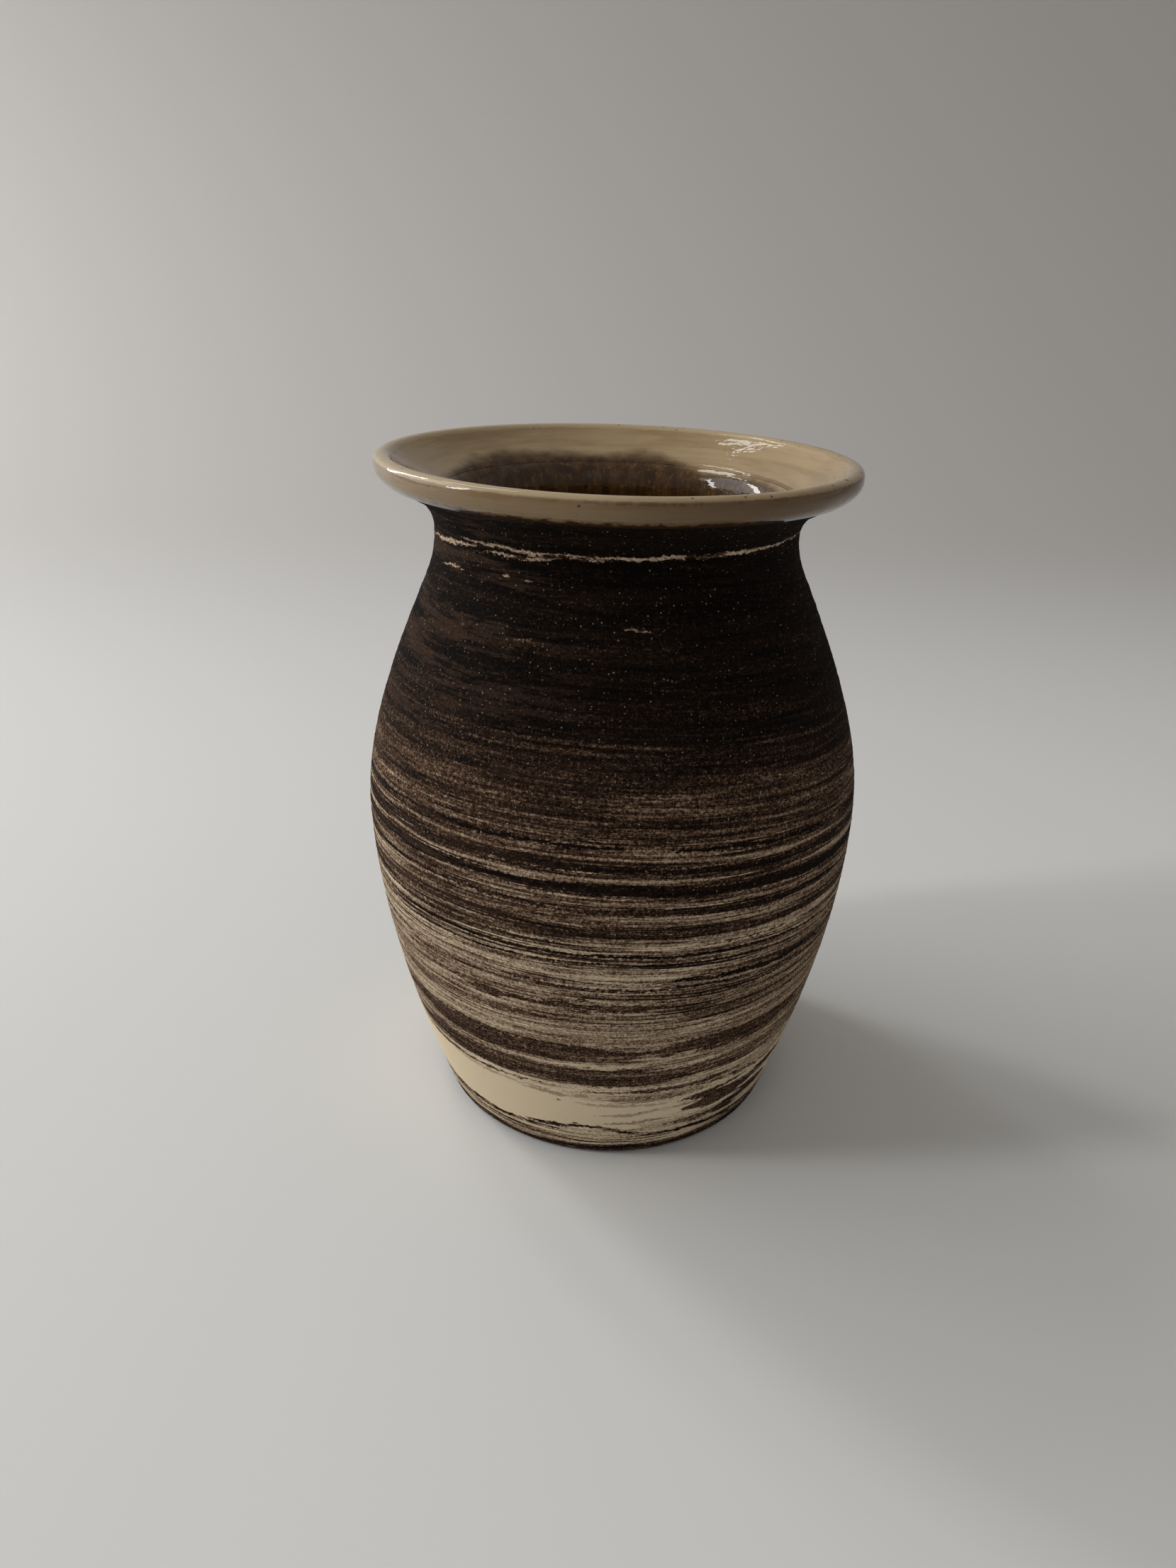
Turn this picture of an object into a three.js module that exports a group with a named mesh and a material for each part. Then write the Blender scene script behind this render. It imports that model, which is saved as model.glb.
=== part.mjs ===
// Thrown stoneware vase: a barrel body with a narrow waist, a flared collar with a
// thick rounded lip, bare marbled clay outside and glaze over the lip and inside.
// Millimetres, +Z up. The vase stands on z = 0 with its axis on the Z axis.
import * as THREE from 'three';

// ---- clay body -------------------------------------------------------------
const footRadius = 62.2;        // outside, just above the bevelled bottom edge
const footBevel = 1.6;          // bevel that trims the bottom edge
const footFlare = 0.33;         // how fast the wall opens out above the foot, mm per mm
const floorThickness = 8;       // clay floor
const bellyRadius = 84;         // widest point, outside
const bellyHeight = 113;
const shoulderSlope = 0.44;     // how fast the shoulder closes above the belly, mm per mm
const shoulderTurn = 14;        // height over which the shoulder turns into the waist
const waistRadius = 57.9;       // narrowest point, outside
const waistHeight = 204.5;
const wallThickness = 6;
const cornerRadius = 9;         // rounded inside corner between the floor and the wall
const lowerTop = 60;            // height at which the lower ring of the wall ends
const bellyTop = 104;           // the belly ring
const upperTop = 148;           // and the upper ring, below the shoulder

// ---- collar and lip --------------------------------------------------------
const collarRise = 22.5;        // from the waist to the very top of the glazed lip
const collarDrop = 9;           // how far the collar piece reaches below the waist
const lipRadius = 75.6;         // outside of the glazed lip
const lipFace = 6;              // height of the lip's outer face
const lipWidth = 4.7;           // width of the lip across its top
const lipBevel = 0.8;           // how far the lip's inner edge lies below its top
const lipRound = 1.5;           // rounding of the lip's outer top edge
const flangeRise = 9.2;         // from the waist up to where the collar's underside starts
const flangeTurn = 4.4;         // how far outside the waist that is
const waistWall = 6;            // wall thickness at the waist
const ridgeInset = 6.6;         // inside ridge of the flare, inwards from the flange's foot
const ridgeLift = 2;            // and above it

// ---- glaze and clearances --------------------------------------------------
const glazeThickness = 0.6;
const coatGap = 0.3;            // between a glaze coat and the clay under it
const jointGap = 0.3;           // between two clay pieces that meet
const glazeBreak = 0.4;         // between the lip glaze and the inner glaze

// ---- facets ----------------------------------------------------------------
const turns = 56;               // facets around the axis
const lowerSteps = 4;           // steps up each ring of the wall
const bellySteps = 3;
const upperSteps = 3;
const shoulderSteps = 4;
const cornerSteps = 3;

const coat = coatGap + glazeThickness;
const collarSeat = waistHeight - collarDrop;
const clayTop = waistHeight + collarRise - coat;
const clayLipRadius = lipRadius - coat;
const floorTop = floorThickness + jointGap;
const underEdge = { x: clayLipRadius - 2.1, y: clayTop - lipFace };
const flangeFoot = {
  x: waistRadius + Math.min(flangeTurn, (underEdge.x - waistRadius) * 0.4),
  y: waistHeight + flangeRise,
};
const ridgePoint = { x: flangeFoot.x - ridgeInset, y: flangeFoot.y + ridgeLift };

const v = (r, z) => new THREE.Vector2(r, z);

// Point on a cubic that leaves a with slope ma (dr/dz) and reaches b with slope mb.
function blend(a, b, ma, mb, t) {
  const dz = b.y - a.y;
  const t2 = t * t;
  const t3 = t2 * t;
  const r = (2 * t3 - 3 * t2 + 1) * a.x + (t3 - 2 * t2 + t) * dz * ma
    + (3 * t2 - 2 * t3) * b.x + (t3 - t2) * dz * mb;
  return v(r, a.y + dz * t);
}

// Points from a to b on that cubic, without a itself.
function blendRun(a, b, ma, mb, steps) {
  const points = [];
  for (let i = 1; i <= steps; i += 1) points.push(blend(a, b, ma, mb, i / steps));
  return points;
}

// Outside of the clay as one cubic spline by height, from the foot to the waist.
const footPoint = v(footRadius, footBevel);
const bellyPoint = v(bellyRadius, bellyHeight);
const turnPoint = v(waistRadius + shoulderSlope * shoulderTurn * 0.5, waistHeight - shoulderTurn);
const waistPoint = v(waistRadius, waistHeight);

function outerRadiusAt(z) {
  const spans = [
    [footPoint, bellyPoint, footFlare, 0],
    [bellyPoint, turnPoint, 0, -shoulderSlope],
    [turnPoint, waistPoint, -shoulderSlope, 0],
  ];
  const span = spans.find((s) => z <= s[1].y) ?? spans[2];
  const t = (z - span[0].y) / (span[1].y - span[0].y);
  return blend(span[0], span[1], span[2], span[3], t).x;
}

// Moves every point of an open line sideways, to the left of its direction of travel.
function offsetLine(line, distance) {
  return line.map((p, i) => {
    const before = i > 0 ? p.clone().sub(line[i - 1]).normalize() : null;
    const after = i < line.length - 1 ? line[i + 1].clone().sub(p).normalize() : null;
    const n1 = before ? v(-before.y, before.x) : v(-after.y, after.x);
    const n2 = after ? v(-after.y, after.x) : n1;
    const mid = n1.clone().add(n2).normalize();
    const reach = distance / Math.max(mid.dot(n1), 0.5);
    return v(Math.max(p.x + mid.x * reach, 0), p.y + mid.y * reach);
  });
}

// Turns a closed section into a solid of revolution whose faces point outwards.
function turned(name, section, colour, roughness) {
  let area = 0;
  section.forEach((p, i) => {
    const q = section[(i + 1) % section.length];
    area += p.x * q.y - q.x * p.y;
  });
  const points = area > 0 ? section.slice() : section.slice().reverse();
  const onAxis = points.filter((p) => p.x < 1e-6);
  if (onAxis.length > 0) {
    // Start at the lower axis point and end at the upper one.
    const start = points.findIndex((p, i) => {
      const prior = points[(i + points.length - 1) % points.length];
      return p.x < 1e-6 && prior.x < 1e-6;
    });
    points.unshift(...points.splice(start));
  } else {
    points.push(points[0].clone());
  }
  const shape = new THREE.LatheGeometry(points, turns);
  shape.rotateX(Math.PI / 2);
  const material = new THREE.MeshStandardMaterial({ color: colour, roughness, metalness: 0 });
  const mesh = new THREE.Mesh(shape, material);
  mesh.name = name;
  return mesh;
}

// ---- shared lines ----------------------------------------------------------
// Heights from one end of a wall ring to the other, both ends included.
function heights(from, to, steps) {
  return Array.from({ length: steps + 1 }, (_, i) => from + ((to - from) * i) / steps);
}

// Rounded corner of the clay inside, from the floor up to the wall.
function insideCorner() {
  const top = floorTop + cornerRadius;
  const centre = outerRadiusAt(top) - wallThickness - cornerRadius;
  const points = [];
  for (let i = 0; i <= cornerSteps; i += 1) {
    const a = (i / cornerSteps) * (Math.PI / 2);
    points.push(v(centre + cornerRadius * Math.sin(a), top - cornerRadius * Math.cos(a)));
  }
  return points;
}

// Inside of the clay wall, from the rounded floor corner up to the collar's seat.
function wallInside() {
  const levels = [
    ...heights(floorTop + cornerRadius, lowerTop, lowerSteps).slice(1),
    ...heights(lowerTop, bellyTop, bellySteps).slice(1),
    ...heights(bellyTop, upperTop, upperSteps).slice(1),
    ...heights(upperTop, collarSeat, shoulderSteps).slice(1),
  ];
  return [...insideCorner(), ...levels.map((z) => v(outerRadiusAt(z) - wallThickness, z))];
}

// Inside of the collar below the ridge: from its seat through the throat.
function throatInside() {
  const seat = v(outerRadiusAt(collarSeat) - wallThickness, collarSeat);
  const waist = v(waistRadius - waistWall, waistHeight);
  const ridge = v(ridgePoint.x, ridgePoint.y);
  return [seat, ...blendRun(seat, waist, -shoulderSlope, 0, 2), ...blendRun(waist, ridge, 0, 1.1, 4)];
}

// Clay under the lip glaze, from the ridge across the flare, over the lip to its under edge.
function lipLine() {
  const innerEdge = v(lipRadius - lipWidth, clayTop - lipBevel);
  const points = [];
  for (let i = 0; i <= 4; i += 1) {
    const t = i / 4;
    const p = v(ridgePoint.x, ridgePoint.y).lerp(innerEdge, t);
    points.push(v(p.x, p.y - 0.5 * Math.sin(Math.PI * t)));
  }
  const topEdge = clayLipRadius - lipRound;
  points.push(v(innerEdge.x + (topEdge - innerEdge.x) * 0.6, clayTop));
  points.push(v(topEdge, clayTop));
  for (let i = 1; i <= 3; i += 1) {
    const a = (i / 3) * (Math.PI / 2);
    points.push(v(topEdge + lipRound * Math.sin(a), clayTop - lipRound + lipRound * Math.cos(a)));
  }
  points.push(v(clayLipRadius, clayTop - lipFace + 3.4));
  points.push(v(clayLipRadius - 0.7, clayTop - lipFace + 1.5));
  points.push(v(underEdge.x, underEdge.y));
  return points;
}

// Outside of the collar, from the lip's under edge down to the seat.
function collarOutside() {
  const turn = flangeFoot.x - waistRadius;
  const points = [];
  points.push(v((underEdge.x + flangeFoot.x) / 2, (underEdge.y + flangeFoot.y) / 2 - 0.2));
  points.push(v(flangeFoot.x, flangeFoot.y));
  points.push(v(waistRadius + turn * 0.39, waistHeight + flangeRise * 0.67));
  points.push(v(waistRadius + turn * 0.09, waistHeight + flangeRise * 0.33));
  points.push(waistPoint);
  for (let i = 1; i <= 3; i += 1) {
    const z = waistHeight - (collarDrop * i) / 3;
    points.push(v(outerRadiusAt(z), z));
  }
  return points;
}

// ---- pieces ----------------------------------------------------------------
// Clay floor: a flat disc with a bevelled bottom edge, on which the wall stands.
function footSlab() {
  const section = [
    v(0, 0),
    v(footRadius - footBevel, 0),
    v(footRadius, footBevel),
    v(outerRadiusAt((floorThickness + footBevel) / 2), (floorThickness + footBevel) / 2),
    v(outerRadiusAt(floorThickness), floorThickness),
    v(0, floorThickness),
  ];
  return turned('foot_slab', section, 0xb59f7f, 0.86);
}

// One ring of the barrel wall between two heights.
function wallRing(name, from, to, steps, colour) {
  const outside = heights(from, to, steps).map((z) => v(outerRadiusAt(z), z));
  const inside = outside.map((p) => v(p.x - wallThickness, p.y));
  return turned(name, [...outside, ...inside.reverse()], colour, 0.9);
}

// Lowest ring of the wall, with the rounded inside corner over the floor.
function lowerWall() {
  const top = lowerTop - jointGap;
  const outside = heights(floorTop, top, lowerSteps).map((z) => v(outerRadiusAt(z), z));
  const levels = heights(floorTop + cornerRadius, top, lowerSteps).slice(1);
  const inside = [...insideCorner(), ...levels.map((z) => v(outerRadiusAt(z) - wallThickness, z))];
  return turned('lower_wall', [...outside, ...inside.reverse()], 0x8f7a63, 0.88);
}

// Waist, flared collar and lip, in one ring that sits on the wall.
function neckCollar() {
  const inside = throatInside();
  const lip = lipLine().slice(1);
  const outside = collarOutside();
  return turned('neck_collar', [...inside, ...lip, ...outside], 0x33251e, 0.9);
}

// Glaze coat inside: over the floor, up the wall and through the throat to the ridge.
function linerGlaze() {
  const line = [v(0, floorTop), ...wallInside(), ...throatInside().slice(1)];
  const outer = offsetLine(line, coatGap);
  const inner = offsetLine(line, coat);
  return turned('liner_glaze', [...outer, ...inner.reverse()], 0x6b4a2a, 0.12);
}

// Glaze coat over the flare and the lip, ending in a line on the lip's under edge.
function rimGlaze() {
  const line = lipLine();
  const along = line[1].clone().sub(line[0]).normalize();
  line[0].addScaledVector(along, glazeBreak);
  const outer = offsetLine(line, coatGap);
  const inner = offsetLine(line, coat);
  return turned('rim_glaze', [...outer, ...inner.reverse()], 0xcdbd9d, 0.1);
}

const vase = new THREE.Group();
vase.name = 'stoneware_vase';
const bellyWall = wallRing('belly_wall', lowerTop, bellyTop - jointGap, bellySteps, 0x6b5644);
const upperWall = wallRing('upper_wall', bellyTop, upperTop - jointGap, upperSteps, 0x3f2e25);
const shoulderWall = wallRing('shoulder_wall', upperTop, collarSeat - jointGap, shoulderSteps, 0x2a1e19);
vase.add(footSlab(), lowerWall(), bellyWall, upperWall, shoulderWall, neckCollar());
vase.add(linerGlaze(), rimGlaze());

export default vase;
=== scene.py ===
import bpy
import math
from mathutils import Euler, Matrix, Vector


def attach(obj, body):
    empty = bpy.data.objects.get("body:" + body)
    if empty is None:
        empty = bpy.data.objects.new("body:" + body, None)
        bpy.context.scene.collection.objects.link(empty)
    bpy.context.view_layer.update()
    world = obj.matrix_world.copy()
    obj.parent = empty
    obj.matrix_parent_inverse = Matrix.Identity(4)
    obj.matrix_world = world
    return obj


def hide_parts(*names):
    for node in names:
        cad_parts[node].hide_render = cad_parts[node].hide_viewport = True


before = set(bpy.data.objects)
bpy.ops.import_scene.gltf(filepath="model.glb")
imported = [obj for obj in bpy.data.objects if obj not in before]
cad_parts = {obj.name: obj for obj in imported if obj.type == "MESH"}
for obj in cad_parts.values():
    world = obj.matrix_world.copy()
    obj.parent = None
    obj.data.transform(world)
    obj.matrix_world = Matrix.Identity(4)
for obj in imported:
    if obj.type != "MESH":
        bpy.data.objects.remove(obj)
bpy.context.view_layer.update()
scene = bpy.context.scene
mm = 0.001

# outline of the pot, in millimetres
pot = {
    "footRadius": 62.2,
    "footBevel": 1.6,
    "footFlare": 0.33,
    "bellyRadius": 84,
    "bellyHeight": 113,
    "shoulderSlope": 0.44,
    "shoulderTurn": 14,
    "waistRadius": 57.9,
    "waistHeight": 204.5,
    "skin": 3.2,             # depth of the clay that each wall ring shows
    "around": 720,           # steps round the pot
}


def deselectAll():
    if bpy.context.object and bpy.context.object.mode != "OBJECT":
        bpy.ops.object.mode_set(mode="OBJECT")
    bpy.ops.object.select_all(action="DESELECT")


def hermite(z, start, end, slopeStart, slopeEnd):
    dz = end[1] - start[1]
    t = (z - start[1]) / dz
    return ((2 * t**3 - 3 * t**2 + 1) * start[0] + (t**3 - 2 * t**2 + t) * dz * slopeStart
            + (3 * t**2 - 2 * t**3) * end[0] + (t**3 - t**2) * dz * slopeEnd)


def wallRadius(z):
    foot = (pot["footRadius"], pot["footBevel"])
    belly = (pot["bellyRadius"], pot["bellyHeight"])
    turn = (pot["waistRadius"] + pot["shoulderSlope"] * pot["shoulderTurn"] * 0.5,
            pot["waistHeight"] - pot["shoulderTurn"])
    waist = (pot["waistRadius"], pot["waistHeight"])
    if z <= belly[1]:
        return hermite(z, foot, belly, pot["footFlare"], 0)
    if z <= turn[1]:
        return hermite(z, belly, turn, 0, -pot["shoulderSlope"])
    return hermite(z, turn, waist, -pot["shoulderSlope"], 0)


def spread(start, end, count):
    return [start + (end - start) * i / count for i in range(count + 1)]


def wallLine(low, high, spacing):
    return [(wallRadius(z), z) for z in spread(low, high, round((high - low) / spacing))]


def smoothLine(points, spacing):
    # Catmull-Rom through the points, cut at about the given spacing
    line = [points[0]]
    for i in range(len(points) - 1):
        p1, p2 = points[i], points[i + 1]
        p0 = points[i - 1] if i else (2 * p1[0] - p2[0], 2 * p1[1] - p2[1])
        p3 = points[i + 2] if i + 2 < len(points) else (2 * p2[0] - p1[0], 2 * p2[1] - p1[1])
        steps = max(1, round(math.dist(p1, p2) / spacing))
        for k in range(1, steps + 1):
            t = k / steps
            line.append(tuple(0.5 * (2 * p1[a] + (p2[a] - p0[a]) * t
                              + (2 * p0[a] - 5 * p1[a] + 4 * p2[a] - p3[a]) * t**2
                              + (3 * p1[a] - p0[a] - 3 * p2[a] + p3[a]) * t**3) for a in (0, 1)))
    return line


def offsetLine(line, distance):
    # moves an open line to the left of its direction
    moved = []
    for i, here in enumerate(line):
        before = line[max(i - 1, 0)]
        after = line[min(i + 1, len(line) - 1)]
        dx, dz = after[0] - before[0], after[1] - before[1]
        size = math.hypot(dx, dz) or 1
        moved.append((max(here[0] - dz / size * distance, 0), here[1] + dx / size * distance))
    return moved


def turnPiece(name, line, closed=True):
    # the profile is drawn vertex by vertex in the XZ plane, then turned round Z
    deselectAll()
    here = line[0]
    bpy.ops.mesh.primitive_plane_add(size=mm, location=(here[0] * mm, 0, here[1] * mm))
    piece = bpy.context.object
    piece.name = name
    piece.data.name = name
    bpy.ops.object.transform_apply(location=True, rotation=True, scale=True)
    bpy.ops.object.mode_set(mode="EDIT")
    bpy.ops.mesh.select_all(action="SELECT")
    bpy.ops.mesh.merge(type="CENTER")
    for point in line[1:] + ([line[0]] if closed else []):
        move = ((point[0] - here[0]) * mm, 0, (point[1] - here[1]) * mm)
        bpy.ops.mesh.extrude_region_move(TRANSFORM_OT_translate={"value": move})
        here = point
    bpy.ops.mesh.select_all(action="SELECT")
    bpy.ops.mesh.remove_doubles(threshold=0.000001)
    bpy.ops.object.mode_set(mode="OBJECT")
    turn = piece.modifiers.new("turn", "SCREW")
    turn.steps = turn.render_steps = pot["around"]
    turn.use_merge_vertices = True
    turn.merge_threshold = 0.000002
    bpy.ops.object.modifier_apply(modifier=turn.name)
    bpy.ops.object.mode_set(mode="EDIT")
    bpy.ops.mesh.select_all(action="SELECT")
    bpy.ops.mesh.remove_doubles(threshold=0.000001)
    bpy.ops.mesh.normals_make_consistent(inside=False)
    bpy.ops.object.mode_set(mode="OBJECT")
    return piece


# a few lines of node shorthand, used by the relief and by the materials
class Nodes:
    def __init__(self, tree):
        self.tree = tree

    def add(self, kind, inputs=None, **settings):
        node = self.tree.nodes.new(kind)
        for key, value in settings.items():
            setattr(node, key, value)
        for key, value in (inputs or {}).items():
            self.put(node.inputs[key], value)
        return node

    def put(self, socket, value):
        if isinstance(value, bpy.types.NodeSocket):
            self.tree.links.new(value, socket)
        elif value is not None:
            socket.default_value = value

    def math(self, operation, a, b=None, c=None, clamp=False):
        node = self.add("ShaderNodeMath", operation=operation, use_clamp=clamp)
        for i, value in enumerate((a, b, c)):
            self.put(node.inputs[i], value)
        return node.outputs[0]

    def scaled(self, vector, scale):
        node = self.add("ShaderNodeVectorMath", operation="MULTIPLY")
        self.put(node.inputs[0], vector)
        self.put(node.inputs[1], scale)
        return node.outputs[0]

    def noise(self, vector, scale, detail=4.0, roughness=0.5, shift=(0, 0, 0)):
        moved = self.add("ShaderNodeVectorMath", operation="ADD")
        self.put(moved.inputs[0], self.scaled(vector, scale))
        self.put(moved.inputs[1], shift)
        node = self.add("ShaderNodeTexNoise", {"Vector": moved.outputs[0], "Scale": 1.0,
                                               "Detail": detail, "Roughness": roughness})
        return node.outputs[0]

    def smooth(self, value, low, high, toLow=0.0, toHigh=1.0):
        node = self.add("ShaderNodeMapRange", interpolation_type="SMOOTHSTEP")
        for i, part in enumerate((value, low, high, toLow, toHigh)):
            self.put(node.inputs[i], part)
        return node.outputs[0]

    def ramp(self, value, stops, interpolation="LINEAR"):
        node = self.add("ShaderNodeValToRGB", {0: value})
        node.color_ramp.interpolation = interpolation
        elements = node.color_ramp.elements
        while len(elements) < len(stops):
            elements.new(0.5)
        for element, (place, colour) in zip(elements, stops):
            rgb = (colour,) * 3 if isinstance(colour, (int, float)) else colour
            element.position = place
            element.color = (*rgb, 1)
        return node.outputs[0]

    def mix(self, factor, a, b):
        node = self.add("ShaderNodeMix", data_type="RGBA")
        self.put(node.inputs[0], factor)
        for socket, value in ((node.inputs[6], a), (node.inputs[7], b)):
            self.put(socket, (*value, 1) if isinstance(value, tuple) and len(value) == 3 else value)
        return node.outputs[2]


# how dark and cream clay lie in the wall; tone runs from 0, dark clay, to 1, cream clay
marbling = {
    # level in mm, tone there, and how strongly the fine layers show
    "layers": [(0, 0.22, 0.6), (2.5, 0.3, 1.2), (5, 0.36, 2.3), (9, 0.46, 2.3), (12, 0.84, 0.9),
               (30, 0.92, 0.6), (36, 0.78, 1.2), (41, 0.6, 1.6), (47, 0.6, 1.5), (52, 0.56, 1.3),
               (58, 0.63, 1.0), (62, 0.69, 0.8), (70, 0.64, 0.9), (76, 0.61, 1.2), (88, 0.6, 1.4),
               (95, 0.54, 1.2), (99, 0.44, 1.0), (102, 0.5, 1.0), (107, 0.45, 1.0),
               (112, 0.36, 0.9), (117, 0.38, 0.9), (122, 0.36, 0.9), (130, 0.36, 0.8),
               (138, 0.31, 0.65), (146, 0.21, 0.5), (156, 0.15, 0.45), (170, 0.1, 0.4),
               (190, 0.08, 0.36), (230, 0.05, 0.25)],
    "climb": 7.0,            # the upper layers rise and fall this much once round the pot, mm
    "climbTurn": -60,
    "span": 230,             # the list of layers ends here, mm
    "waver": 1.3,            # slow rise and fall of every layer, mm
    "shake": 1.2,            # unevenness along the edge of a smear, mm
    # thin layers that run right round: level mm, half thickness mm, tone, amount
    "rings": [(153, 0.6, 0.46, 0.55), (147.5, 0.5, 0.3, 0.5), (138.3, 0.8, 0.42, 0.6),
              (129.6, 0.4, 0.66, 0.6), (125, 0.65, 0.05, 0.95), (121.6, 0.45, 0.72, 0.75),
              (118.6, 1.2, 0.12, 0.7), (115.4, 0.45, 0.74, 0.75), (112.2, 2.2, 0.08, 0.9),
              (108.2, 0.5, 0.7, 0.75), (105.6, 1.1, 0.16, 0.75), (97.6, 1.2, 0.22, 0.65),
              (89.8, 0.5, 0.03, 1.0), (93.2, 0.35, 0.16, 0.8), (86.6, 0.3, 0.1, 0.8),
              (78.5, 0.35, 0.12, 0.7)],
    # smears: turn from the front in degrees, height mm, reach in degrees, half thickness mm,
    # climb in mm per radian, tone, amount
    "smears": [(26, 207.0, 44, 0.65, -0.4, 0.8, 1.0), (-26, 207.4, 25, 0.5, -1.6, 0.72, 1.0),
               (-22, 205.9, 21, 0.5, 2.0, 0.75, 1.0), (-60, 205.6, 17, 0.7, 3.0, 0.78, 1.0),
               (-56, 198.6, 6, 0.4, 0.0, 0.75, 1.0), (-32, 200.3, 1.5, 0.35, 0.0, 0.7, 1.0),
               (-25, 199.8, 1.3, 0.3, 0.0, 0.7, 1.0), (6, 188.5, 3.5, 0.3, -1.0, 0.6, 1.0),
               (-23, 184.2, 3, 0.3, 0.0, 0.5, 1.0), (-3, 183.8, 27, 0.9, 0.0, 0.24, 0.6),
               (32, 176.3, 30, 1.0, -1.0, 0.24, 0.6), (-62, 171.2, 20, 0.8, -2.0, 0.36, 0.7),
               (36, 83.2, 27, 0.9, -4.7, 0.03, 1.0), (28, 78.2, 17, 0.45, -2.0, 0.15, 0.9),
               (-5, 79.2, 1.4, 0.5, 0.0, 0.02, 1.0), (-11, 75.2, 24, 1.7, 0.5, 0.2, 0.6),
               (-28, 54.4, 40, 4.1, 0.0, 0.31, 0.85), (31, 54.8, 27, 3.5, -0.5, 0.33, 0.85),
               (0, 48.6, 11, 0.9, 0.0, 0.9, 1.0), (-42, 49.0, 26, 0.5, 0.5, 0.65, 0.9),
               (34, 48.6, 24, 0.6, 0.0, 0.7, 0.9), (-14, 43.6, 46, 3.8, 0.0, 0.34, 0.8),
               (44, 43.8, 26, 2.6, -2.0, 0.42, 0.6), (-40, 36.6, 26, 0.7, 1.5, 0.25, 0.9),
               (18, 35.8, 24, 1.1, -2.0, 0.3, 0.85), (40, 32.4, 16, 1.0, -6.0, 0.3, 0.8),
               (36, 23.0, 13, 3.6, 6.0, 0.3, 0.9), (45, 16.5, 14, 3.4, 8.0, 0.24, 0.9),
               (32, 28.0, 11, 1.5, 5.0, 0.28, 0.9), (56, 26.0, 13, 2.4, 6.0, 0.22, 0.9),
               (30, 14.5, 12, 1.4, 3.0, 0.4, 0.8), (8, 18.6, 10, 0.7, 5.0, 0.58, 0.8),
               (6, 23.0, 9, 0.7, 4.0, 0.6, 0.7), (18, 24.5, 9, 0.9, 3.0, 0.5, 0.7),
               (-12.5, 29.5, 0.7, 0.5, 0.0, 0.02, 1.0), (-30, 34.5, 17, 0.9, -1.0, 0.6, 0.7),
               (-8, 32.6, 16, 1.2, -2.0, 0.55, 0.7), (6, 28.4, 14, 0.8, -3.0, 0.62, 0.7),
               (-50, 37.0, 12, 0.6, 1.0, 0.5, 0.8), (14, 31.6, 17, 1.4, -2.0, 0.5, 0.7),
               # the next two broad faint smears are painted light and painted shade: cream on the lit
               # left, dark on the right
               (-62, 84.0, 44, 14.0, 2.0, 0.8, 0.18), (46, 78.0, 36, 16.0, 0.0, 0.2, 0.25),
               (-37, 11.6, 25, 1.1, 0.6, 0.17, 1.0), (-13, 14.7, 10, 1.0, 9.0, 0.14, 1.0),
               (2, 14.5, 11, 1.0, -14.0, 0.14, 1.0), (32, 9.4, 25, 1.1, -2.6, 0.15, 1.0),
               (150, 54.0, 60, 4.0, 1.5, 0.22, 0.9), (-130, 52.5, 50, 4.4, -1.0, 0.24, 0.9),
               (120, 42.6, 50, 3.6, 2.5, 0.26, 0.9), (-140, 41.5, 44, 3.0, -2.0, 0.28, 0.9),
               (175, 47.6, 40, 0.8, 0.0, 0.85, 0.9), (105, 24.0, 20, 1.4, 8.0, 0.2, 0.9),
               (140, 18.0, 24, 1.1, 5.0, 0.2, 0.9), (-165, 30.0, 22, 1.0, -6.0, 0.3, 0.9),
               (90, 12.4, 30, 0.6, 1.5, 0.08, 1.0), (-110, 11.6, 40, 0.6, -1.0, 0.08, 1.0),
               (170, 13.2, 34, 0.6, 1.0, 0.08, 1.0), (140, 206.6, 46, 0.7, 1.0, 0.9, 1.0),
               (-130, 207.4, 40, 0.6, 1.2, 0.85, 1.0), (165, 187.0, 9, 0.4, 0.0, 0.7, 1.0),
               (-150, 81.0, 30, 0.8, 2.0, 0.04, 1.0), (115, 76.0, 26, 1.2, 1.0, 0.15, 0.8)],
    # the smooth cream patch low on the front left, in the same terms
    "patch": (-34, 25.5, 60, 12.5, -1.5),
}


def radial(n, position):
    split = n.add("ShaderNodeSeparateXYZ", {0: position})
    x, y, z = split.outputs
    height = n.math("MULTIPLY", z, 1000.0)
    angle = n.math("ARCTAN2", x, n.math("MULTIPLY", y, -1.0))
    return angle, height


def smear(n, angle, height, ragged, turn, middle, reach, half, climb):
    away = n.math("WRAP", n.math("SUBTRACT", angle, math.radians(turn)), math.pi, -math.pi)
    along = n.math("ABSOLUTE", n.math("MULTIPLY", away, 1 / math.radians(reach)))
    taper = n.math("POWER", along, 2.5)
    line = n.math("MULTIPLY_ADD", away, climb, middle)
    across = n.math("ABSOLUTE", n.math("SUBTRACT", height, line))
    across = n.math("MULTIPLY", n.math("ADD", across, ragged), 1 / half)
    edge = n.math("ADD", across, taper)
    return n.smooth(edge, 1.0 + 0.18 / half, 1.0 - 0.35 / (half + 0.35))


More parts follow.
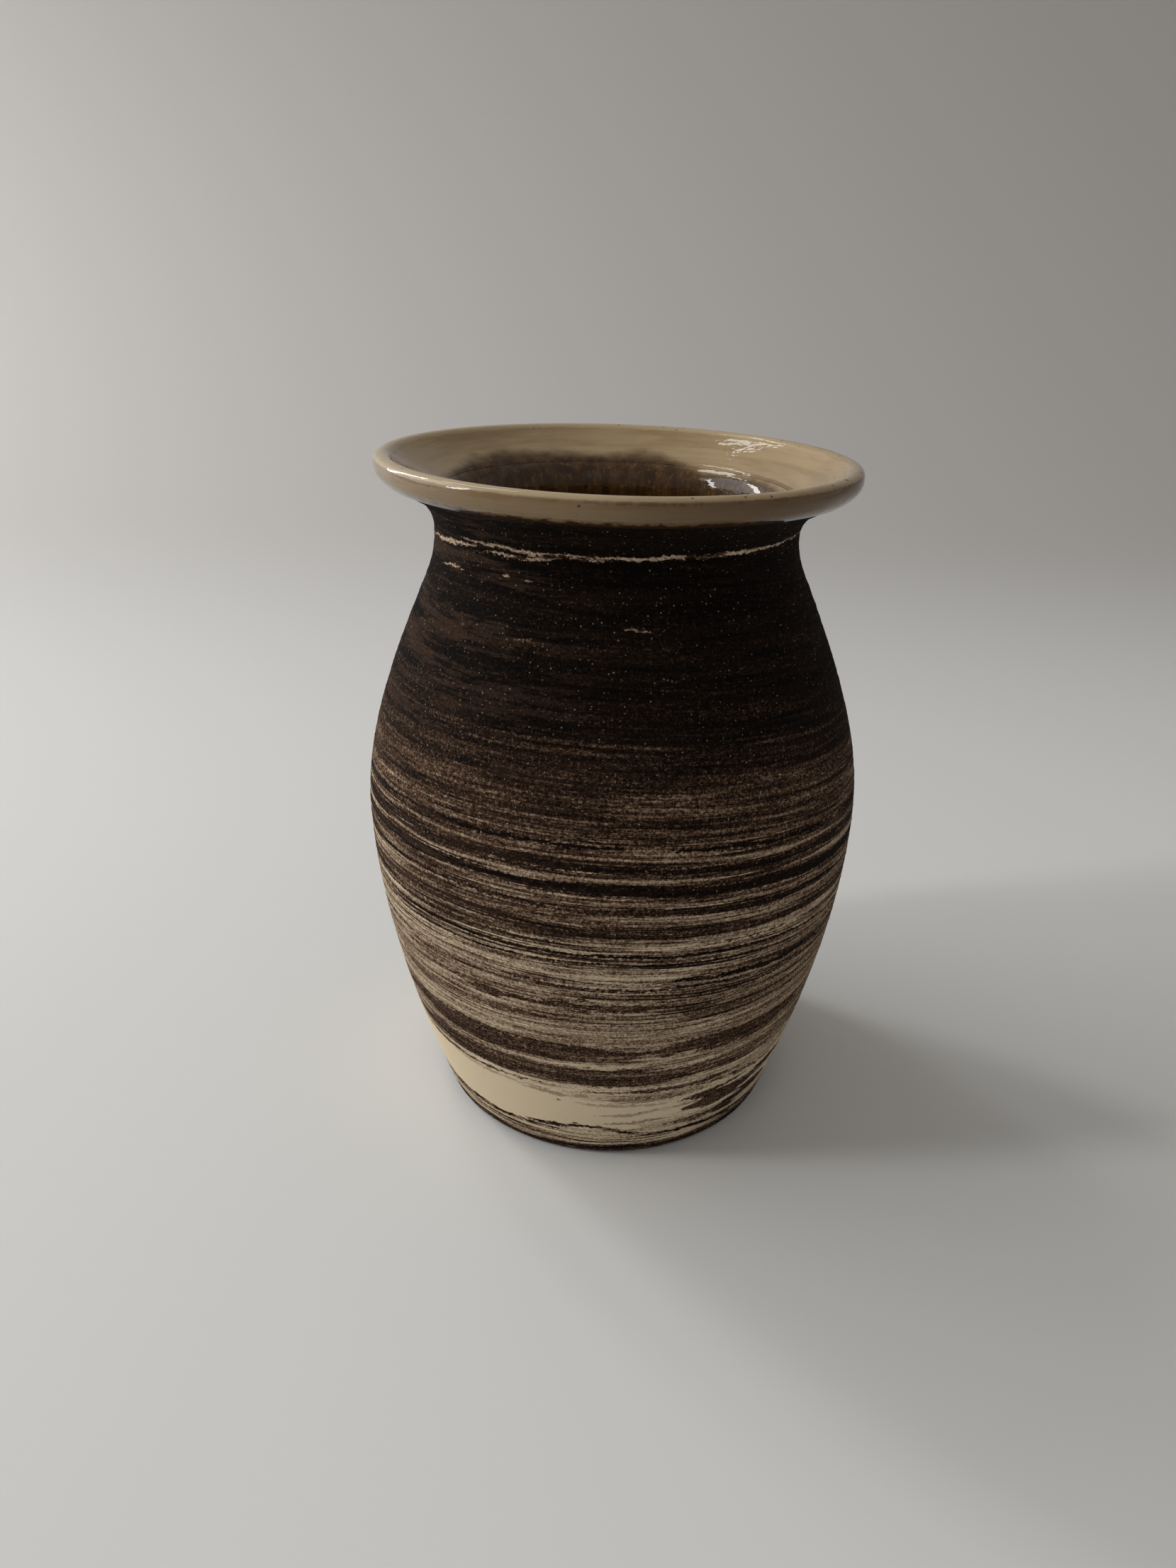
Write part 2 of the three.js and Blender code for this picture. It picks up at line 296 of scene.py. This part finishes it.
def clayTone(n, position, allSmears=True):
    angle, height = radial(n, position)
    waver = n.math("SUBTRACT", n.noise(position, (26, 26, 40), 3.0, 0.5), 0.5)
    height = n.math("MULTIPLY_ADD", waver, marbling["waver"] * 3, height)
    swing = n.math("SINE", n.math("ADD", angle, math.radians(marbling["climbTurn"])))
    climb = n.math("MULTIPLY", swing, n.smooth(height, 62, 92, 0.0, marbling["climb"]))
    level = n.math("ADD", height, climb)
    span = marbling["span"]
    share = n.math("DIVIDE", level, span)
    mean = n.ramp(share, [(h / span, tone) for h, tone, lines in marbling["layers"]])
    lines = n.ramp(share, [(h / span, lines / 4) for h, tone, lines in marbling["layers"]])
    lines = n.math("MULTIPLY", lines, 4.0)
    torn = n.noise(position, (650, 650, 1250), 3.0, 0.8, (1, 9, 4))
    ragged = n.math("MULTIPLY_ADD", torn, 3.0, -1.5)
    bent = n.add("ShaderNodeCombineXYZ", {2: n.math("MULTIPLY", climb, mm)}).outputs[0]
    laid = n.add("ShaderNodeVectorMath", {0: position, 1: bent}, operation="ADD").outputs[0]
    wide = n.math("SUBTRACT", n.noise(laid, (9, 9, 230), 2.0, 0.5, (3, 1, 7)), 0.5)
    fine = n.math("SUBTRACT", n.noise(laid, (24, 24, 820), 3.0, 0.65, (11, 5, 2)), 0.5)
    hair = n.math("SUBTRACT", n.noise(laid, (75, 75, 2400), 3.0, 0.75, (4, 4, 8)), 0.5)
    mixed = n.math("ADD", fine, n.math("MULTIPLY", hair, 0.6))
    mixed = n.math("MULTIPLY_ADD", wide, 0.45, mixed)
    shake = n.math("SUBTRACT", n.noise(position, (170, 170, 260), 2.0, 0.6, (8, 8, 3)), 0.5)
    shaken = n.math("MULTIPLY_ADD", shake, marbling["shake"] * 2, height)
    combed = n.math("SUBTRACT", n.noise(laid, (30, 30, 420), 3.0, 0.7, (5, 3, 3)), 0.5)
    feather = n.math("MULTIPLY_ADD", combed, 9.0, ragged)
    patch = smear(n, angle, shaken, n.math("MULTIPLY", feather, 1.5), *marbling["patch"])
    gap = n.smooth(n.noise(position, (110, 110, 330), 2.0, 0.6, (5, 8, 1)), 0.36, 0.5, 0.4, 1.0)
    lines = n.math("MULTIPLY", lines, n.math("MULTIPLY_ADD", patch, -0.93, 1.0))
    mean = n.math("MULTIPLY_ADD", n.math("SUBTRACT", 1.03, mean), patch, mean)
    tone = n.math("MULTIPLY_ADD", mixed, lines, mean)
    # hairlines of dark and of cream clay, only where the layers are well mixed
    well = n.math("MULTIPLY", n.smooth(level, 59, 72), n.smooth(level, 136, 112))
    well = n.math("MULTIPLY", well, 0.85)
    darkHair = n.math("MULTIPLY_ADD", torn, 0.12, n.noise(laid, (13, 13, 1500), 2.0, 0.5, (2, 7, 5)))
    darkHair = n.math("MULTIPLY", n.smooth(darkHair, 0.635, 0.67), well)
    tone = n.math("MULTIPLY_ADD", n.math("SUBTRACT", 0.1, tone), darkHair, tone)
    creamHair = n.math("MULTIPLY_ADD", torn, 0.12, n.noise(laid, (15, 15, 950), 2.0, 0.5, (7, 2, 3)))
    creamHair = n.math("MULTIPLY", n.smooth(creamHair, 0.665, 0.71), well)
    tone = n.math("MULTIPLY_ADD", n.math("SUBTRACT", 0.82, tone), creamHair, tone)
    come = n.math("MULTIPLY_ADD", n.noise(position, (19, 19, 210), 2.0, 0.6, (6, 1, 3)), -6.5, 3.1)
    come = n.math("MAXIMUM", come, -0.12)
    broken = n.math("ADD", n.math("MULTIPLY", ragged, 0.8), come)
    for middle, half, shade, amount in marbling["rings"]:
        across = n.math("ADD", n.math("ABSOLUTE", n.math("SUBTRACT", level, middle)), broken)
        there = n.smooth(across, half + 0.15, half * 0.5 - 0.15, 0.0, amount)
        tone = n.math("MULTIPLY_ADD", n.math("SUBTRACT", shade, tone), there, tone)
    # thick smears get a combed edge, and long thin ones get gaps
    for turn, middle, reach, half, rise, shade, amount in marbling["smears"] if allSmears else []:
        thin = half <= 1.3
        there = smear(n, angle, shaken, ragged if thin else feather, turn, middle, reach, half, rise)
        there = n.math("MULTIPLY", there, amount)
        if thin and reach > 8:
            there = n.math("MULTIPLY", there, gap)
        tone = n.math("MULTIPLY_ADD", n.math("SUBTRACT", shade, tone), there, tone)
    return n.math("MULTIPLY_ADD", n.math("MULTIPLY", mixed, lines), 0.3, tone), patch, torn


# uneven throwing and the gritty surface, as one node group that every clay ring gets
relief = {
    "lean": -1.1,            # the rim dips this many degrees towards +X
    "wobble": 0.35,          # slow unevenness, mm
    "rings": 0.10,           # throwing rings, mm
    "drag": 0.24,            # grooves dragged by grit, mm
    "grit": 0.2,             # grains standing out of the dark clay, mm
}


def makeRelief(name, surface):
    tree = bpy.data.node_groups.new(name, "GeometryNodeTree")
    tree.interface.new_socket("Geometry", in_out="INPUT", socket_type="NodeSocketGeometry")
    tree.interface.new_socket("Geometry", in_out="OUTPUT", socket_type="NodeSocketGeometry")
    n = Nodes(tree)
    begin = n.add("NodeGroupInput")
    end = n.add("NodeGroupOutput")
    position = n.add("GeometryNodeInputPosition").outputs[0]
    split = n.add("ShaderNodeSeparateXYZ", {0: position})
    x, y, z = split.outputs
    height = n.math("MULTIPLY", z, 1000.0)
    flat = n.add("ShaderNodeCombineXYZ", {0: x, 1: y}).outputs[0]
    outward = n.add("ShaderNodeVectorMath", {0: flat}, operation="NORMALIZE").outputs[0]
    wobble = n.math("SUBTRACT", n.noise(position, (11, 11, 14), 1.0, 0.4, (5, 5, 5)), 0.5)
    push = n.math("MULTIPLY", wobble, relief["wobble"] * 2 * mm)
    if surface == "clay":
        tone = clayTone(n, position, allSmears=False)[0]
        rough = n.smooth(tone, 0.2, 0.8, 1.0, 0.25)
        ringNoise = n.math("SUBTRACT", n.noise(position, (4, 4, 120), 1.0, 0.4, (8, 2, 6)), 0.5)
        drag = n.math("SUBTRACT", n.noise(position, (38, 38, 700), 3.0, 0.6, (2, 4, 8)), 0.5)
        grit = n.math("SUBTRACT", n.noise(position, (560, 560, 640), 1.0, 0.5, (7, 3, 1)), 0.5)
        push = n.math("MULTIPLY_ADD", ringNoise, relief["rings"] * 2 * mm, push)
        for part, depth in ((drag, relief["drag"]), (grit, relief["grit"])):
            part = n.math("MULTIPLY", n.math("MULTIPLY", part, rough), depth * 2 * mm)
            push = n.math("ADD", push, part)
    shift = n.add("ShaderNodeVectorMath", {0: outward, 3: push}, operation="SCALE").outputs[0]
    tilt = n.math("MULTIPLY", n.smooth(height, 184, 219), math.tan(math.radians(relief["lean"])))
    rise = n.math("MULTIPLY", x, tilt)
    lift = n.add("ShaderNodeCombineXYZ", {2: rise}).outputs[0]
    total = n.add("ShaderNodeVectorMath", {0: shift, 1: lift}, operation="ADD").outputs[0]
    moved = n.add("GeometryNodeSetPosition", {"Geometry": begin.outputs[0], "Offset": total})
    tree.links.new(moved.outputs[0], end.inputs[0])
    return tree


def roughen(piece, group):
    deselectAll()
    piece.select_set(True)
    bpy.context.view_layer.objects.active = piece
    uneven = piece.modifiers.new("uneven", "NODES")
    uneven.node_group = group
    bpy.ops.object.modifier_apply(modifier=uneven.name)
    bpy.ops.object.shade_smooth_by_angle(angle=math.radians(55))


# places in mm, angles in degrees
cameraSet = {"back": 351.0, "height": 276.9, "down": 25.05, "turn": 1.35, "roll": 0.66, "lens": 24.97}

bpy.ops.object.camera_add(location=(0, -cameraSet["back"] * mm, cameraSet["height"] * mm))
camera = bpy.context.object
camera.name = "camera"
aim = Euler((math.radians(90 - cameraSet["down"]), 0, math.radians(cameraSet["turn"]))).to_quaternion()
aim = aim @ Euler((0, 0, math.radians(cameraSet["roll"]))).to_quaternion()
camera.rotation_euler = aim.to_euler()
camera.data.lens = cameraSet["lens"]
camera.data.sensor_width = 36
camera.data.clip_start = 0.01
scene.camera = camera

# a paper sweep, in metres; painted shade darkens the paper towards the back
paper = {
    "width": 5.0,
    "front": -2.2,
    "back": 1.5,
    "bend": 0.7,
    "steps": 16,
    "rise": 2.4,
    "colour": (0.67, 0.675, 0.67),
    # far: the colour of the painted shade at the back of the paper
    "far": (0.44, 0.43, 0.42),
    "paintedBackShade": (0.05, 1.0),
}
deselectAll()
bpy.ops.mesh.primitive_plane_add(size=1, location=(0, paper["front"], 0))
sweep = bpy.context.object
sweep.name = "paper_sweep"
bpy.ops.object.transform_apply(location=True)
bpy.ops.object.mode_set(mode="EDIT")
bpy.ops.mesh.select_all(action="SELECT")
bpy.ops.mesh.delete(type="ONLY_FACE")
bpy.ops.mesh.select_all(action="SELECT")
bpy.ops.mesh.merge(type="CENTER")
bpy.ops.transform.translate(value=(-paper["width"] / 2, 0, 0))
sweepLine = [(paper["front"], 0)]
for i in range(paper["steps"] + 1):
    a = math.pi / 2 * i / paper["steps"]
    sweepLine.append((paper["back"] - paper["bend"] + paper["bend"] * math.sin(a),
                      paper["bend"] * (1 - math.cos(a))))
sweepLine.append((paper["back"], paper["rise"]))
for here, there in zip(sweepLine, sweepLine[1:]):
    move = (0, there[0] - here[0], there[1] - here[1])
    bpy.ops.mesh.extrude_region_move(TRANSFORM_OT_translate={"value": move})
bpy.ops.mesh.select_all(action="SELECT")
bpy.ops.mesh.extrude_region_move(TRANSFORM_OT_translate={"value": (paper["width"], 0, 0)})
bpy.ops.mesh.select_all(action="SELECT")
bpy.ops.mesh.normals_make_consistent(inside=False)
bpy.ops.object.mode_set(mode="OBJECT")
bpy.ops.object.shade_smooth()

sweepPaper = bpy.data.materials.new("white paper")
sweepPaper.use_nodes = True
n = Nodes(sweepPaper.node_tree)
shader = sweepPaper.node_tree.nodes["Principled BSDF"]
split = n.add("ShaderNodeSeparateXYZ", {0: n.add("ShaderNodeTexCoord").outputs["Object"]})
# painted shade: the paper turns from its pale colour to the far colour towards the back
paintedBackShade = n.smooth(split.outputs[1], *paper["paintedBackShade"])
n.put(shader.inputs["Base Color"], n.mix(paintedBackShade, paper["colour"], paper["far"]))
shader.inputs["Roughness"].default_value = 0.9
sweep.data.materials.append(sweepPaper)

# window panes at the left and back, a curtain and a little light from the room
lights = {
    "near_pane": {"place": (-2.1, -0.45, 1.25), "size": (0.22, 1.1), "power": 14,
                  "colour": (1.0, 0.99, 0.97)},
    "far_pane": {"place": (-1.8, 1.3, 1.15), "size": (0.3, 1.3), "power": 16,
                 "colour": (1.0, 0.99, 0.97)},
    "top_pane": {"place": (-1.12, 1.2, 2.45), "size": (0.24, 0.9), "power": 5,
                 "colour": (1.0, 0.99, 0.97)},
    "back_pane": {"place": (-1.0, 1.72, 2.2), "size": (0.24, 0.9), "power": 5,
                  "colour": (1.0, 0.99, 0.97)},
    "curtain": {"place": (-2.3, 0.45, 1.35), "size": (2.4, 2.0), "power": 34,
                "colour": (0.98, 0.99, 1.0)},
    "room": {"place": (0.2, -2.0, 1.9), "size": (1.8, 1.2), "power": 1.2,
             "colour": (1.0, 0.95, 0.88)},
}
for name, light in lights.items():
    bpy.ops.object.light_add(type="AREA", location=light["place"])
    lamp = bpy.context.object
    lamp.name = name + "_light"
    lamp.data.shape = "RECTANGLE"
    lamp.data.size, lamp.data.size_y = light["size"]
    lamp.data.energy = light["power"]
    lamp.data.color = light["colour"]
    lamp.rotation_euler = (Vector((0, 0, 0.12)) - lamp.location).to_track_quat("-Z", "Y").to_euler()

air = {"colour": (1.0, 0.96, 0.91, 1), "strength": 0.34}
world = bpy.data.worlds.new("room")
scene.world = world
world.use_nodes = True
background = world.node_tree.nodes["Background"]
background.inputs[0].default_value = air["colour"]
background.inputs[1].default_value = air["strength"]
scene.view_settings.view_transform = "Standard"
print("camera and stage set")

clayLook = {
    # clay colour at each tone, from dark to cream
    "tones": [(0.0, (0.003, 0.0016, 0.001)), (0.12, (0.006, 0.0033, 0.0021)),
              (0.26, (0.024, 0.013, 0.0079)), (0.38, (0.072, 0.039, 0.023)),
              (0.5, (0.15, 0.093, 0.058)), (0.62, (0.275, 0.193, 0.128)),
              (0.76, (0.43, 0.338, 0.238)), (1.0, (0.68, 0.565, 0.395))],
    "speck": (0.5, 0.41, 0.3),
    "speckScale": 860.0,
    "speckSize": 0.22,
    "ironAndPaintedLight": (0.062, 0.034, 0.0215),     # brown patches in the dark clay, partly real and partly painted light
    "paintedLightTurn": 72,                     # degrees; painted light: the patches are made strongest on the lit left side
    "grain": 0.85,
    "roughness": 0.9,
    "specular": 0.07,
    "bump": 0.0013,
}


def makeClay():
    clay = bpy.data.materials.new("bare marbled stoneware")
    clay.use_nodes = True
    tree = clay.node_tree
    shader = tree.nodes["Principled BSDF"]
    n = Nodes(tree)
    position = n.add("ShaderNodeTexCoord").outputs["Object"]
    tone, patch, torn = clayTone(n, position)
    grit = n.math("SUBTRACT", n.noise(position, (1150, 1150, 1350), 2.0, 0.9, (5, 2, 9)), 0.5)
    speckle = n.math("ADD", grit, n.math("MULTIPLY", n.math("SUBTRACT", torn, 0.5), 0.6))
    amount = n.math("MULTIPLY_ADD", patch, -0.8 * clayLook["grain"], clayLook["grain"])
    amount = n.math("MULTIPLY", amount, n.smooth(tone, 0.1, 0.35, 1.0, 1.35))
    tone = n.math("MULTIPLY_ADD", speckle, amount, tone)
    colour = n.ramp(tone, clayLook["tones"])
    ironAndPaintedLight = n.noise(position, (14, 14, 150), 5.0, 0.8, (9, 2, 2))
    ironAndPaintedLight = n.math("MULTIPLY", n.smooth(ironAndPaintedLight, 0.46, 0.575), n.smooth(tone, 0.45, 0.2))
    ironAndPaintedLight = n.math("MULTIPLY", ironAndPaintedLight, n.math("MULTIPLY_ADD", speckle, 2.6, 0.75, clamp=True))
    # painted light: the brown patches are made much stronger on the lit left side, lifting the dark clay
    # there
    angle, height = radial(n, position)
    turned = n.math("COSINE", n.math("ADD", angle, math.radians(clayLook["paintedLightTurn"])))
    ironAndPaintedLight = n.math("MULTIPLY", ironAndPaintedLight, n.smooth(turned, 0.2, 1.0, 0.12, 1.0))
    colour = n.mix(ironAndPaintedLight, colour, clayLook["ironAndPaintedLight"])
    # pale grains of grog
    grain = n.add("ShaderNodeTexVoronoi", {"Vector": position, "Scale": clayLook["speckScale"]},
                  feature="F1")
    pick = n.add("ShaderNodeSeparateColor", {0: grain.outputs["Color"]})
    size = n.math("MULTIPLY", n.smooth(pick.outputs[0], 0.35, 1.0, 0.1, 1.0), clayLook["speckSize"])
    speck = n.math("LESS_THAN", grain.outputs["Distance"], size)
    pale = n.math("MULTIPLY", speck, n.math("MULTIPLY_ADD", pick.outputs[1], 0.5, 0.12))
    colour = n.mix(pale, colour, clayLook["speck"])
    shader.inputs["Roughness"].default_value = clayLook["roughness"]
    shader.inputs["Specular IOR Level"].default_value = clayLook["specular"]
    tree.links.new(colour, shader.inputs["Base Color"])
    rough = n.smooth(tone, 0.15, 0.85, 1.0, 0.35)
    rough = n.math("MULTIPLY", rough, n.math("MULTIPLY_ADD", patch, -0.6, 1.0))
    fine = n.math("SUBTRACT", n.noise(position, (800, 800, 1000), 4.0, 0.8, (2, 2, 2)), 0.5)
    pits = n.math("MULTIPLY_ADD", speck, 0.25, fine)
    bump = n.add("ShaderNodeBump", {"Height": pits, "Strength": rough, "Distance": clayLook["bump"]})
    tree.links.new(bump.outputs[0], shader.inputs["Normal"])
    return clay


marbledClay = makeClay()
clayRelief = makeRelief("uneven clay", "clay")
glazeRelief = makeRelief("uneven glaze", "glaze")


def finishClay(piece, node):
    roughen(piece, clayRelief)
    piece.data.materials.clear()
    piece.data.materials.append(marbledClay)
    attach(piece, "root")
    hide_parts(node)
    print("made", piece.name)


def wallRing(name, node, low, high, spacing):
    outside = wallLine(low, high, spacing)
    inside = [(r - pot["skin"], z) for r, z in wallLine(low, high, (high - low) / 4)]
    finishClay(turnPiece(name, outside + inside[::-1]), node)


footSlab = {"top": 8.0}
bevelStart = pot["footRadius"] - pot["footBevel"]
line = [(0, 0), (30, 0), (bevelStart - 0.6, 0), (bevelStart, 0.15)]
line += [(pot["footRadius"] - 0.5, 1.0)] + wallLine(pot["footBevel"], footSlab["top"], 0.5)
line += [(wallRadius(footSlab["top"]) - pot["skin"], footSlab["top"]), (0, footSlab["top"])]
finishClay(turnPiece("foot", line, closed=False), "foot_slab")

# the wall is four rings that meet edge to edge: bottom, top and vertex spacing in mm
wall = {
    "lower": (8.0, 60.0, 0.58),
    "belly": (60.0, 104.0, 0.5),
    "upper": (104.0, 148.0, 0.5),
    "shoulder": (148.0, 195.5, 0.55),
}
for part, (low, high, spacing) in wall.items():
    wallRing(part + "_ring", part + "_wall", low, high, spacing)

collar = {
    "bottom": 195.5,
    "outside": [(57.9, 204.5), (58.2, 207.3), (59.5, 210.4), (62.3, 213.6), (67.4, 216.6), (72.2, 219.4)],
    "inside": [(71.6, 221.2), (66.0, 219.0), (60.0, 216.2), (56.3, 212.4), (54.8, 207.5), (54.6, 204.5)],
}
line = wallLine(collar["bottom"], pot["waistHeight"], 0.5)[:-1]
line += smoothLine(collar["outside"], 0.5)
line += collar["inside"] + [(wallRadius(collar["bottom"]) - pot["skin"], collar["bottom"])]
finishClay(turnPiece("collar", line), "neck_collar")

# the glaze coats, drawn from the side that lies on the clay
rim = {
    "line": [(56.1, 215.6), (57.4, 216.7), (60.2, 218.2), (63.8, 220.3), (67.4, 222.7),
             (69.9, 224.7), (70.7, 225.5), (71.6, 226.15), (72.9, 226.4), (74.1, 226.15),
             (74.75, 225.6), (75.0, 224.8), (75.0, 223.2), (74.5, 221.7), (73.5, 220.4),
             (72.0, 219.2)],
    "thick": 0.55,
}
under = smoothLine(rim["line"], 0.4)
over = offsetLine(under, rim["thick"])
rimGlaze = turnPiece("rim_coat", under + over[::-1])

liner = {
    "floor": [(0, 8.6), (20, 8.6), (38, 8.6), (47, 8.75), (53, 9.6), (57, 11.6), (59.3, 14.2),
              (60.4, 16.4)],
    "wall": (20, 192),
    "wallSteps": 43,
    "behind": 6.2,           # distance from the outside of the wall, mm
    "throat": [(53.1, 195.5), (52.1, 200.0), (51.8, 204.5), (51.9, 208.0), (52.6, 211.3),
               (53.9, 213.8), (55.9, 215.5)],
    "thick": 0.55,
}
heights = spread(*liner["wall"], liner["wallSteps"])
line = smoothLine(liner["floor"], 1.2) + [(wallRadius(z) - liner["behind"], z) for z in heights]
line += smoothLine(liner["throat"], 0.6)
linerGlaze = turnPiece("liner_coat", line + offsetLine(line, liner["thick"])[::-1], closed=False)


glazeLook = {
    "cream": (0.37, 0.27, 0.15),
    "tan": (0.29, 0.2, 0.105),
    "amber": (0.1, 0.048, 0.014),
    "dark": (0.034, 0.015, 0.004),
    "smoke": (0.08, 0.042, 0.015),
    "edge": (0.035, 0.017, 0.008),
    # top: the colour of the painted light on the lip's top band
    "top": (0.5, 0.4, 0.25),
    # the lip's outer face: brown from thin glaze, partly painted shade
    "lip": (0.08, 0.04, 0.014),
    "pool": 213.2,           # height where the cream runs out into the dark throat, mm
    "poolSwing": 6.0,        # it lies this much higher at one side, mm
    "poolTurn": 150,
    "fleck": (0.2, 0.11, 0.035),
    "ridge": 216.4,          # the low ridge in the throat, mm
    "ridgeColour": (0.13, 0.07, 0.035),
    "corner": 225.55,        # the outer corner of the lip, mm
    "cornerColour": (0.1, 0.05, 0.02),
    "pitScale": 420.0,
    "coat": 1.36,
}


def makeGlaze(name):
    glaze = bpy.data.materials.new(name)
    glaze.use_nodes = True
    tree = glaze.node_tree
    shader = tree.nodes["Principled BSDF"]
    n = Nodes(tree)
    position = n.add("ShaderNodeTexCoord").outputs["Object"]
    angle, height = radial(n, position)
    x, y, z = n.add("ShaderNodeSeparateXYZ", {0: position}).outputs
    far = n.math("SQRT", n.math("ADD", n.math("POWER", x, 2.0), n.math("POWER", y, 2.0)))
    far = n.math("MULTIPLY", far, 1000.0)
    # heights are read as if the rim did not lean
    height = n.math("MULTIPLY_ADD", x, -1000 * math.tan(math.radians(relief["lean"])), height)
    drift = n.noise(position, (26, 26, 420), 4.0, 0.6)
    cloud = n.noise(position, (55, 55, 90), 3.0, 0.6, (4, 2, 6))
    colour = n.mix(n.smooth(drift, 0.42, 0.68), glazeLook["cream"], glazeLook["tan"])
    colour = n.mix(n.smooth(cloud, 0.45, 0.8, 0.0, 0.6), colour, glazeLook["tan"])
    # the throat: amber run over dark clay, with a smoky border
    swing = n.math("COSINE", n.math("ADD", angle, math.radians(glazeLook["poolTurn"])))
    border = n.math("MULTIPLY_ADD", n.smooth(swing, 0.35, 1.0), glazeLook["poolSwing"], glazeLook["pool"])
    right = n.math("COSINE", n.math("ADD", angle, math.radians(-120)))
    border = n.math("MULTIPLY_ADD", n.smooth(right, 0.4, 1.0), 3.2, border)
    border = n.math("MULTIPLY_ADD", n.math("SUBTRACT", cloud, 0.5), 6.0, border)
    below = n.math("SUBTRACT", border, height)
    mottle = n.noise(position, (230, 230, 70), 4.0, 0.65, (8, 1, 1))
    amber = n.mix(n.smooth(mottle, 0.4, 0.66, 0.1, 0.9), glazeLook["dark"], glazeLook["amber"])
    flecks = n.noise(position, (700, 700, 300), 2.0, 0.6, (3, 3, 3))
    amber = n.mix(n.smooth(flecks, 0.56, 0.7, 0.0, 0.5), amber, glazeLook["fleck"])
    amber = n.mix(n.smooth(below, 3.0, 1.0, 0.0, 0.75), amber, glazeLook["smoke"])
    inside = n.math("LESS_THAN", far, 69.0)
    colour = n.mix(n.math("MULTIPLY", n.smooth(below, -1.0, 2.2), inside), colour, amber)
    # thin brown line where the glaze breaks over the ridge, and brown pits along the lip
    ridge = n.math("ABSOLUTE", n.math("SUBTRACT", height, glazeLook["ridge"]))
    seen = n.smooth(n.math("COSINE", n.math("ADD", angle, math.radians(-80))), 0.5, 0.9)
    line = n.math("MULTIPLY", n.smooth(ridge, 0.7, 0.2), seen)
    line = n.math("MULTIPLY", line, n.math("LESS_THAN", far, 60.0))
    colour = n.mix(n.math("MULTIPLY", line, 0.8), colour, glazeLook["ridgeColour"])
    spots = n.add("ShaderNodeTexVoronoi", {"Vector": position, "Scale": glazeLook["pitScale"]},
                  feature="F1")
    pick = n.add("ShaderNodeSeparateColor", {0: spots.outputs["Color"]})
    onEdge = n.math("MULTIPLY", n.smooth(far, 69.5, 71.5), n.smooth(height, 222, 225))
    size = n.math("MULTIPLY_ADD", onEdge, 0.2, 0.1)
    size = n.math("MULTIPLY", n.smooth(pick.outputs[0], 0.5, 1.0), size)
    spot = n.math("LESS_THAN", spots.outputs["Distance"], size)
    colour = n.mix(spot, colour, glazeLook["edge"])
    # painted light: the lip's top band is paler, most on the lit left; the outer face is browner where
    # the glaze thins, and darker towards the right as painted shade
    breaks = n.noise(position, (160, 160, 160), 3.0, 0.7, (6, 2, 2))
    top = n.math("MULTIPLY_ADD", n.math("SUBTRACT", breaks, 0.5), 1.2, height)
    turned = n.math("COSINE", n.math("ADD", angle, math.radians(-65)))
    paintedLightTop = n.math("MULTIPLY", n.smooth(top, 225.3, 226.0), n.smooth(turned, 0.95, 0.2, 0.0, 0.5))
    colour = n.mix(paintedLightTop, colour, glazeLook["top"])
    # painted shade on the lip's outer face: real brown from thin glaze, made darker towards the right
    lip = n.math("MULTIPLY", n.math("GREATER_THAN", far, 71.8), n.smooth(top, 226.1, 225.5))
    brownAndShadeWeight = n.smooth(turned, 0.2, 0.95, 0.5, 0.86)
    colour = n.mix(n.math("MULTIPLY", lip, brownAndShadeWeight), colour, glazeLook["lip"])
    # a broken brown line where the glaze breaks over the lip's outer corner
    corner = n.math("ABSOLUTE", n.math("SUBTRACT", top, glazeLook["corner"]))
    corner = n.math("MULTIPLY", n.smooth(corner, 0.75, 0.25), n.math("GREATER_THAN", far, 73.6))
    where = n.math("MULTIPLY", n.smooth(breaks, 0.42, 0.56), n.smooth(turned, -0.1, 0.6))
    corner = n.math("MULTIPLY", corner, where)
    colour = n.mix(n.math("MULTIPLY", corner, 0.85), colour, glazeLook["cornerColour"])
    # dark line where the glaze thins out at its lower edge
    outside = n.math("GREATER_THAN", far, 70.0)
    ragged = n.noise(position, (300, 300, 500), 3.0, 0.7, (1, 4, 1))
    low = n.smooth(n.math("MULTIPLY_ADD", ragged, 3.2, height), 222.2, 221.0)
    colour = n.mix(n.math("MULTIPLY", low, outside), colour, glazeLook["edge"])
    tree.links.new(colour, shader.inputs["Base Color"])
    shader.inputs["Roughness"].default_value = 0.55
    shader.inputs["Specular IOR Level"].default_value = 0.05
    shader.inputs["Coat Weight"].default_value = 1.0
    shader.inputs["Coat IOR"].default_value = glazeLook["coat"]
    shader.inputs["Coat Roughness"].default_value = 0.03
    ripple = n.noise(position, (80, 80, 260), 3.0, 0.55, (9, 9, 1))
    bump = n.add("ShaderNodeBump", {"Height": ripple, "Strength": 0.5, "Distance": 0.0006})
    tree.links.new(bump.outputs[0], shader.inputs["Coat Normal"])
    tree.links.new(bump.outputs[0], shader.inputs["Normal"])
    return glaze


for piece, node, slot, glaze in (
    (rimGlaze, "rim_glaze", "cream_glaze", makeGlaze("cream glaze")),
    (linerGlaze, "liner_glaze", "amber_glaze", makeGlaze("amber glaze")),
):
    roughen(piece, glazeRelief)
    piece.data.materials.clear()
    piece.data.materials.append(glaze)
    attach(piece, "root")
    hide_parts(node)
    print("made", piece.name)
